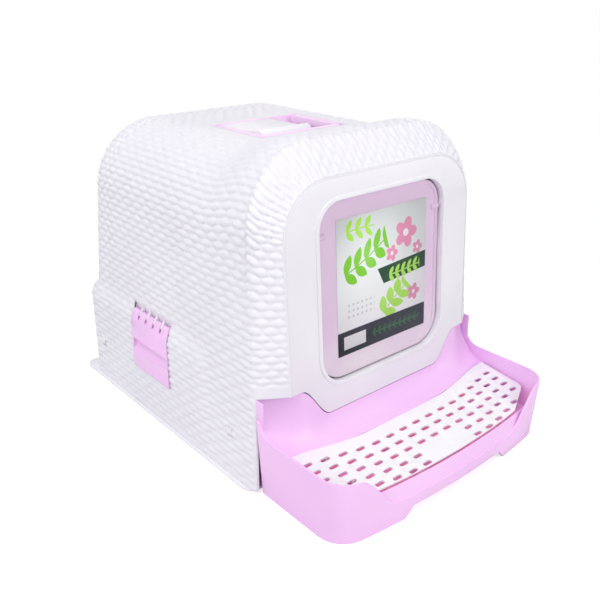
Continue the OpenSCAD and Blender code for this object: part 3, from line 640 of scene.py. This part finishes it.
def strand_at(y, z):
    """Length along the strand of the place y on the side wall at height z."""
    if y < MID_FRONT:
        start = corner_y(z) + WALL_START
        return TURN_END + (y - start) / (MID_FRONT - start) * FRONT_L
    if y < MID_BACK:
        return FRONT_END + y - MID_FRONT
    return MIDDLE_END + (y - MID_BACK) / (wall_back_y(z) - BACK_R - MID_BACK) * REAR_L


snap_marks = [strand_at(y + k * SNAP_HALF, (SNAP_LOW + SNAP_HIGH) / 2) for y in SNAP_Y for k in (-1, 1)]
opening_marks = [strand_at(y, 0.0) for y in
                 (WELL_FRONT, WELL_BACK, LATCH_Y - LATCH_GAP_HALF, LATCH_Y + LATCH_GAP_HALF)]
column_marks = sorted([*ENDS, *snap_marks, *opening_marks])


def in_well(x, y, z, margin=0):
    return z > ROOF_LOW and abs(x) < WELL_HALF + margin and WELL_FRONT - margin < y < WELL_BACK + margin


def in_opening(x, y, z):
    """True where the hood is open: handle well, latch windows, snap slots, the room for the drawer."""
    if in_well(x, y, z):
        return True
    if abs(x) > SIDE_X:
        if abs(y - LATCH_Y) < LATCH_GAP_HALF and WINDOW_LOW < z < WINDOW_TOP:
            return True
        if SNAP_LOW < z < SNAP_HIGH and min(abs(y - s) for s in SNAP_Y) < SNAP_HALF:
            return True
    return z < APRON_HIGH and y < corner_y(z) - 0.8


def half_sheet(points, side, inward):
    """One half's sheet with its openings cut out. side is 1 for the right and -1 for the left."""
    bm = grid_of(points * (side, 1, 1))
    drop_faces(bm, in_opening)
    if (side < 0) != inward:
        bmesh.ops.reverse_faces(bm, faces=bm.faces)
    return bm


def is_rim(edge):
    """True for an open edge that gets a wall: not the seam of the halves, nor one in the frame's plane."""
    if not edge.is_boundary or min(abs(v.co.x) for v in edge.verts) <= 0.00001:
        return False
    return not all(abs(v.co.y / MM - frame_plane_y(v.co.z / MM)) < 1.0 for v in edge.verts)


def turn_in(bm):
    """Gives the open edges of the hood the wall's thickness."""
    rims = [e for e in bm.edges if is_rim(e)]
    made = bmesh.ops.extrude_edge_only(bm, edges=rims)["geom"]
    for vert in (g for g in made if isinstance(g, bmesh.types.BMVert)):
        x, y, z = vert.co / MM
        if in_well(x, y, z, WELL_EDGE):
            vert.co.z -= HOOD_WALL * MM
        elif z < FOOT_Z + 1 and y > BACK_FOOT_Y:
            inward = Vector(HOOD_MIDDLE) * MM - vert.co
            inward.z = 0
            vert.co += inward.normalized() * HOOD_WALL * MM
        else:
            vert.co.x -= math.copysign(HOOD_WALL * MM, x)


def make_hood():
    columns = np.r_[LIP_COLUMNS, steps(column_marks, FINE_COLUMN)]
    points = press_weave(hood_points(FINE_ROW, FINE_CROWN, columns, 0), columns)
    for side, name, replaced in ((1, "hood_right", ("hood_shell",)), (-1, "hood_left", ())):
        bm = half_sheet(points, side, False)
        turn_in(bm)
        to_piece(bm, name, WOVEN, "hood", replaced)


def make_lining():
    points = hood_points(COARSE_ROW, COARSE_CROWN, steps(column_marks, COARSE_COLUMN), HOOD_WALL)
    for side, name in ((1, "hood_lining_right"), (-1, "hood_lining_left")):
        to_piece(half_sheet(points, side, True), name, WHITE, "hood")


make_hood()
make_lining()

# ---------------------------------------------------------------- latch ears and thumb tabs on the hood

PIVOT_X, PIVOT_Z, KNUCKLE_R, KNUCKLE_L = 184.1, 141.0, 4.2, 18.0
EAR_T, EAR_LOW, EAR_TOP = 3.0, WINDOW_TOP - 7, LEDGE_TOP + 9
HANG_OUT, HANG_IN = PIVOT_X - 4.6, PIVOT_X - 6.9     # faces of the wall that hangs down behind the knuckles
HANG_BEND = PIVOT_Z + 5.6              # above this height that wall leans out to the window's top
CHEEK_T, CHEEK_LOW = 1.2, PIVOT_Z - 8
TAB_SIZE, TAB_Z, TAB_SUNK = (1.8, 8.0, 6.0), 63.0, 0.1


def plate_across(bm, side, outline, y0, y1):
    """Adds a plate with this outline of x and z, reaching from y0 to y1."""
    made = bmesh.ops.create_circle(bm, cap_ends=True, segments=len(outline), radius=1)["verts"]
    for vert, (x, z) in zip(made, outline):
        vert.co = Vector((side * x, y0, z)) * MM
    grown = bmesh.ops.extrude_face_region(bm, geom=[made[0].link_faces[0]], use_keep_orig=True)["geom"]
    far = [g for g in grown if isinstance(g, bmesh.types.BMVert)]
    bmesh.ops.translate(bm, verts=far, vec=(0, (y1 - y0) * MM, 0))


def add_ears(bm, side):
    """The four ears that stand between the latch's knuckles and hold its pin."""
    turns = [math.radians(a) for a in range(180, 361, 20)]
    outline = [(PIVOT_X + KNUCKLE_R * math.cos(a), PIVOT_Z + KNUCKLE_R * math.sin(a)) for a in turns]
    outline += [(side_x(EAR_LOW) - 3, EAR_LOW), (side_x(WINDOW_TOP) - 1, WINDOW_TOP),
                (wall_half(EAR_TOP) - 1, EAR_TOP), (wall_half(EAR_TOP) - 4, EAR_TOP),
                (PIVOT_X - 6, LEDGE_TOP - 2)]
    for k in (-1.5, -0.5, 0.5, 1.5):
        middle = LATCH_Y + k * KNUCKLE_L
        plate_across(bm, side, outline, middle - EAR_T / 2, middle + EAR_T / 2)


def add_window_lining(bm, side):
    """The wall that hangs down behind the knuckles, and a cheek at each end of the window."""
    top = WINDOW_TOP + 1
    hanging = [(wall_half(WINDOW_TOP) - 0.8, top), (HANG_OUT, HANG_BEND), (HANG_OUT, PIVOT_Z - 1),
               (HANG_IN, PIVOT_Z - 1), (HANG_IN, HANG_BEND), (wall_half(WINDOW_TOP) - 3.2, top)]
    plate_across(bm, side, hanging, LATCH_Y - LATCH_GAP_HALF - 1, LATCH_Y + LATCH_GAP_HALF + 1)
    cheek = [(HANG_IN, CHEEK_LOW), (side_x(CHEEK_LOW) - 2.6, CHEEK_LOW),
             (side_x(WINDOW_TOP) - 2.6, WINDOW_TOP), (HANG_IN, WINDOW_TOP)]
    for end in (-1, 1):
        y = LATCH_Y + end * LATCH_GAP_HALF
        plate_across(bm, side, cheek, *sorted((y, y + end * CHEEK_T)))


def add_thumb_tabs(bm, side):
    """A small raised block over each snap slot."""
    for y in SNAP_Y:
        x = wall_half(TAB_Z) if y < FOOT_FRONT + LEDGE_START else side_x(TAB_Z)
        add_block(bm, TAB_SIZE, (side * (x - TAB_SUNK), y, TAB_Z))


def make_ears(side, name):
    bm = bmesh.new()
    add_ears(bm, side)
    add_window_lining(bm, side)
    add_thumb_tabs(bm, side)
    bmesh.ops.recalc_face_normals(bm, faces=bm.faces)
    soften(to_piece(bm, name, WHITE, "hood"), 0.0004)


make_ears(1, "latch_ears_right")
make_ears(-1, "latch_ears_left")

# ---------------------------------------------------------------- frame, base and drawer

refined("front_panel", WHITE)
refined("base_tray", WHITE, 0.0008)

CATCH_X, CATCH_Y, CATCH_Z = 0.17, (-0.27, -0.12), (0.023, 0.09)    # metres that the painted shade and glow may reach
RIM_END_SIZE, RIM_END_AT = (2.6, 16.0, 37.0), (181.4, -137.8, 101.8)


def under_grate(face):
    """True for the drawer's faces on the catch floor and on the cove behind it, which get the painted shade
    and glow.
    """
    x, y, z = face.center
    near = abs(x) < CATCH_X and CATCH_Y[0] < y < CATCH_Y[1] and CATCH_Z[0] < z < CATCH_Z[1]
    return near and face.normal.y < 0.3


def make_drawer():
    drawer = refined("drawer", PINK, 0.0012, 3)
    # the faces under the grate take the pink with painted shade and glow
    drawer.data.materials.append(UNDER_GRATE_PAINTED_SHADE)
    for face in drawer.data.polygons:
        face.material_index = int(under_grate(face))


def make_rim_ends():
    """The posts that close the drawer's rim at the hood's front corners."""
    bm = bmesh.new()
    x, y, z = RIM_END_AT
    for side in (-1, 1):
        add_block(bm, RIM_END_SIZE, (side * x, y, z))
    bmesh.ops.bevel(bm, geom=bm.edges[:], offset=0.0011, segments=2, profile=0.5, affect="EDGES", material=-1)
    to_piece(bm, "drawer_rim_ends", PINK, "tray")


make_drawer()
make_rim_ends()

# ---------------------------------------------------------------- grate, latches, handle and lid

refined("step_grate", GRATE_WHITE, 0.0004)
refined("latch_left", PINK, 0.0005)
refined("latch_right", PINK, 0.0005)
refined("latch_pin_left", PINK, 0.0003)
refined("latch_pin_right", PINK, 0.0003)
# the handle and its well in the pink that is painted lighter
refined("handle_pan", WELL_PINK_PAINTED_LIGHT, 0.0005)
refined("carry_handle", WELL_PINK_PAINTED_LIGHT, 0.001)
refined("filter_lid", WHITE, 0.0008)
refined("carbon_filter", CARBON, 0.001)

# ---------------------------------------------------------------- flap


def tinted_flap(t):
    """Milky see-through pink, with a painted reflection that makes it paler towards its lower edge."""
    height = t.parts(t.place())[2]
    # painted reflection: the flap turns paler towards its lower edge
    low = t.ramp(height, 0.115, 0.20, 1, 0)
    cloud = t.ramp(t.noise(16, 2), 0.3, 0.7)
    tint = t.mix(low, (0.90, 0.69, 0.90), (0.97, 0.86, 0.95))
    return {
        "Base Color": t.mix(cloud * 0.5, tint, (0.88, 0.70, 0.88)),
        "Roughness": sheen(t, 0.12, 0.2, 60, 2),
    }


FLAP = new_material("clear_pink", {"Transmission Weight": 0.22, "IOR": 1.3}, tinted_flap)
refined("flap", FLAP, 0.0005)

# ---------------------------------------------------------------- printed card behind the flap's face

# Places and lengths on the card are shares of its width, u from its left edge and v from its foot.
CARD_LOW, CARD_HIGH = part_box("flap_card")
CARD_W, CARD_H = CARD_HIGH[0] - CARD_LOW[0], CARD_HIGH[2] - CARD_LOW[2]
SLATE, DEEP_GREEN, DULL_GREEN = (0.018, 0.030, 0.040), (0.004, 0.055, 0.020), (0.03, 0.16, 0.05)
LEAF, FRESH = (0.20, 0.58, 0.03), (0.42, 0.80, 0.10)
BLOSSOM, BLOSSOM_EYE = (0.80, 0.30, 0.48), (0.92, 0.86, 0.88)
PAPER, ASH = (0.84, 0.86, 0.86), (0.60, 0.64, 0.64)
CARD_PALE, CARD_DULL = (0.90, 0.92, 0.92), (0.72, 0.75, 0.75)
BLOSSOMS = (((0.76, 0.86), 0.13), ((0.60, 0.72), 0.07), ((0.90, 0.71), 0.06), ((0.86, 0.33), 0.075))
STEM_HALF = 0.006
LEAF_COS, LEAF_SIN = 0.64, 0.77        # a leaf stands off its stem by about 50 degrees
PETAL_NOTCH, EYE_SIZE = 0.42, 0.24     # shares of a blossom's radius
DOTS_ACROSS, DOT_HALF = 21, 0.2        # dots to the card's width, and a dot's half size in its cell


def below(a, b):
    """1 where a is less than b."""
    return a.math("LESS_THAN", b)


def sprig(t, u, v, start, turn, bend, length, pitch, leaf, fat):
    """A bent stem with pairs of leaves, as a mask. leaf is a leaf's length, fat its arc's offset."""
    c, s = math.cos(math.radians(turn)), math.sin(math.radians(turn))
    du, dv = u - start[0], v - start[1]
    along = du * c + dv * s
    side = (dv * c - du * s - along * along * bend).math("ABSOLUTE")
    within = below(along, length) * below(0 - along, 0.0)
    cell = (along / pitch).math("FRACT") * pitch
    reach = cell * LEAF_COS + side * LEAF_SIN - leaf / 2
    off = (side * LEAF_COS - cell * LEAF_SIN).math("ABSOLUTE") + fat
    blade = below(reach * reach + off * off, leaf * leaf / 4 + fat * fat)
    return (blade.math("MAXIMUM", below(side, STEM_HALF))) * within


def blossom(u, v, middle, radius):
    """A flower of five round petals, as a mask, and its eye."""
    du, dv = u - middle[0], v - middle[1]
    turn = dv.math("ARCTAN2", du)
    far = (du * du + dv * dv).math("SQRT")
    petal = (turn * 2.5).math("COSINE").math("ABSOLUTE")
    edge = petal * (PETAL_NOTCH * radius) + (1 - PETAL_NOTCH) * radius
    return below(far, edge), below(far, radius * EYE_SIZE)


def block(u, v, u0, u1, v0, v1):
    """1 inside the oblong u0..u1, v0..v1."""
    return below(u, u1) * below(0 - u, -u0) * below(v, v1) * below(0 - v, -v0)


def dotted(w):
    """1 in the middle of each cell along w."""
    return below(((w * DOTS_ACROSS).math("FRACT") - 0.5).math("ABSOLUTE"), DOT_HALF)


def printed_card(t):
    """A plain garden print: leaf sprigs, blossoms, a green ribbon and a slate foot."""
    x, _, z = t.parts(t.place())
    u = (x - CARD_LOW[0]) / CARD_W
    v = (z - CARD_LOW[2]) / CARD_W
    colour = t.mix(t.ramp(v, 0.1, CARD_H / CARD_W, 0, 1), CARD_PALE, CARD_DULL)
    dots = dotted(u) * dotted(v) * block(u, v, 0.10, 0.40, 0.29, 0.44)
    colour = t.mix(dots, colour, ASH)
    colour = t.mix(sprig(t, u, v, (0.08, 0.66), 16, 0.3, 0.50, 0.115, 0.16, 0.065), colour, LEAF)
    colour = t.mix(sprig(t, u, v, (0.10, 0.99), 6, -0.3, 0.30, 0.10, 0.11, 0.05), colour, FRESH)
    ribbon = below(v - u * 0.06, 0.60) * below(0.46 - v + u * 0.06, 0.0) * below(0.50 - u, (v - 0.5) * 0.5)
    colour = t.mix(ribbon, colour, DEEP_GREEN)
    colour = t.mix(sprig(t, u, v, (0.57, 0.545), 2, 0.1, 0.36, 0.07, 0.08, 0.035), colour, FRESH)
    colour = t.mix(sprig(t, u, v, (0.50, 0.24), 42, -0.5, 0.34, 0.10, 0.15, 0.05), colour, FRESH)
    for middle, radius in BLOSSOMS:
        petals, eye = blossom(u, v, middle, radius)
        colour = t.mix(petals, colour, BLOSSOM)
        colour = t.mix(eye, colour, BLOSSOM_EYE)
    colour = t.mix(below(v, 0.20), colour, SLATE)
    colour = t.mix(block(u, v, 0.06, 0.30, 0.045, 0.155), colour, PAPER)
    colour = t.mix(sprig(t, u, v, (0.38, 0.10), 0, 0.0, 0.55, 0.06, 0.05, 0.03), colour, DULL_GREEN)
    return {"Base Color": colour, "Roughness": sheen(t, 0.3, 0.4, 300, 2)}


CARD = new_material("card_print", {"IOR": 1.45}, printed_card)
refined("flap_card", CARD, 0)

# ---------------------------------------------------------------- floor and background

FLOOR_GLOW = 0.62                      # lifts the floor to white and leaves the shadow near the box
NEAR_BOX, CLEAR_OF_BOX = 0.45, 0.85    # between these distances the floor turns plain white
AMBIENT = 0.49


def make_floor():
    """A floor that the camera sees as white, with the box's own shadow close to it."""
    material = new_material("floor_white", {"Base Color": (0.9, 0.9, 0.9), "Roughness": 0.9,
                                            "Specular IOR Level": 0.1})
    tree = Tree(material)
    lit = Val(tree, tree.nodes["Principled BSDF"].outputs[0])
    glow = tree.node("ShaderNodeEmission", None, {"Color": (1, 1, 1), "Strength": FLOOR_GLOW})
    white = tree.node("ShaderNodeEmission", None, {"Color": (1, 1, 1), "Strength": 1.0})
    near = tree.node("ShaderNodeAddShader", None, [lit, glow])
    x, y, _ = tree.parts(tree.place())
    out = tree.ramp((x * x + y * y).math("SQRT"), NEAR_BOX, CLEAR_OF_BOX)
    backdrop = tree.node("ShaderNodeMixShader", None, [out, near, white])
    seen = tree.node("ShaderNodeLightPath", out="Is Camera Ray")
    surface = tree.node("ShaderNodeMixShader", None, [seen, lit, backdrop])
    tree.feed(tree.nodes["Material Output"].inputs["Surface"], surface)

    bm = bmesh.new()
    bmesh.ops.create_grid(bm, x_segments=1, y_segments=1, size=6)
    mesh_object(bm, "floor", material)


def make_world():
    """White for the camera and for what is mirrored or seen through, dimmer as light on the box."""
    world = bpy.data.worlds.new("world")
    scene.world = world
    world.use_nodes = True
    sky = Tree(world)
    seen, mirrored, through = (sky.node("ShaderNodeLightPath", out=ray) for ray in
                               ("Is Camera Ray", "Is Glossy Ray", "Is Transmission Ray"))
    seen_white = seen.math("MAXIMUM", mirrored).math("MAXIMUM", through)
    background = sky.nodes["Background"]
    sky.feed(background.inputs["Color"], (1, 1, 1))
    sky.feed(background.inputs["Strength"], AMBIENT + seen_white * (1 - AMBIENT))


make_floor()
make_world()
